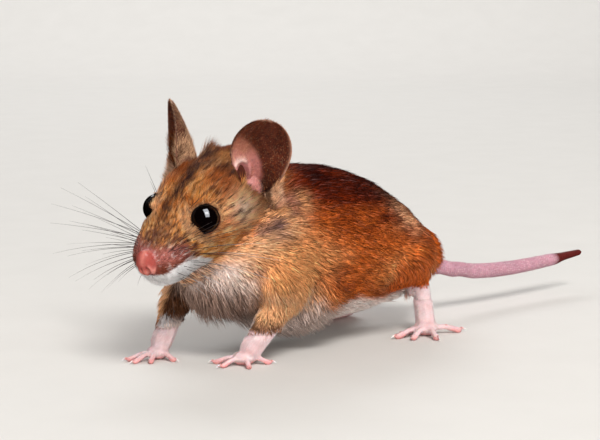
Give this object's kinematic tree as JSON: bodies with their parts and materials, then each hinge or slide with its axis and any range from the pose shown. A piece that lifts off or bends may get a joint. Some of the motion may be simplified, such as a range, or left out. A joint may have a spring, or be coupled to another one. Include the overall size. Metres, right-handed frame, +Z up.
{
  "type": "wood mouse",
  "caption": "Life-size still model of a wood mouse in mid-step, with orange-brown coat, pale belly, large dark eyes, round ears and bare tail.",
  "frame": {"origin": "middle of the footprint's box, on the floor", "axes": "+X towards the tail, +Y towards the mouse's right, +Z up"},
  "size_m": [0.1146, 0.0358, 0.0427],
  "materials": {
    "coat": "short soft fur, orange-brown above and grey-white below",
    "bare_skin": "pale pink skin, faintly scaled on the tail",
    "ear_skin": "thin brown skin with fine short hairs, pink inside at the foot",
    "eye": "wet gloss black",
    "raw_tip": "dark red dried skin",
    "claw": "small translucent horn",
    "whisker": "fine stiff hairs, dark above and pale below"
  },
  "bodies": {
    "root": {"head": "coat", "neck": "coat", "trunk": "coat", "foreleg_left": "coat", "foreleg_right": "coat", "hindleg_left": "coat", "hindleg_right": "coat", "forefoot_left": "bare_skin", "forefoot_right": "bare_skin", "hindfoot_left": "bare_skin", "hindfoot_right": "bare_skin", "tail_base": "bare_skin", "tail_end": "bare_skin", "tail_tip": "raw_tip", "ear_left": "ear_skin", "ear_right": "ear_skin", "eye_left": "eye", "eye_right": "eye", "nose": "bare_skin", "whisker_left_1": "whisker", "whisker_left_2": "whisker", "whisker_left_3": "whisker", "whisker_left_4": "whisker", "whisker_left_5": "whisker", "whisker_right_1": "whisker", "whisker_right_2": "whisker", "whisker_right_3": "whisker", "whisker_right_4": "whisker", "whisker_right_5": "whisker"}
  },
  "joints": []
}
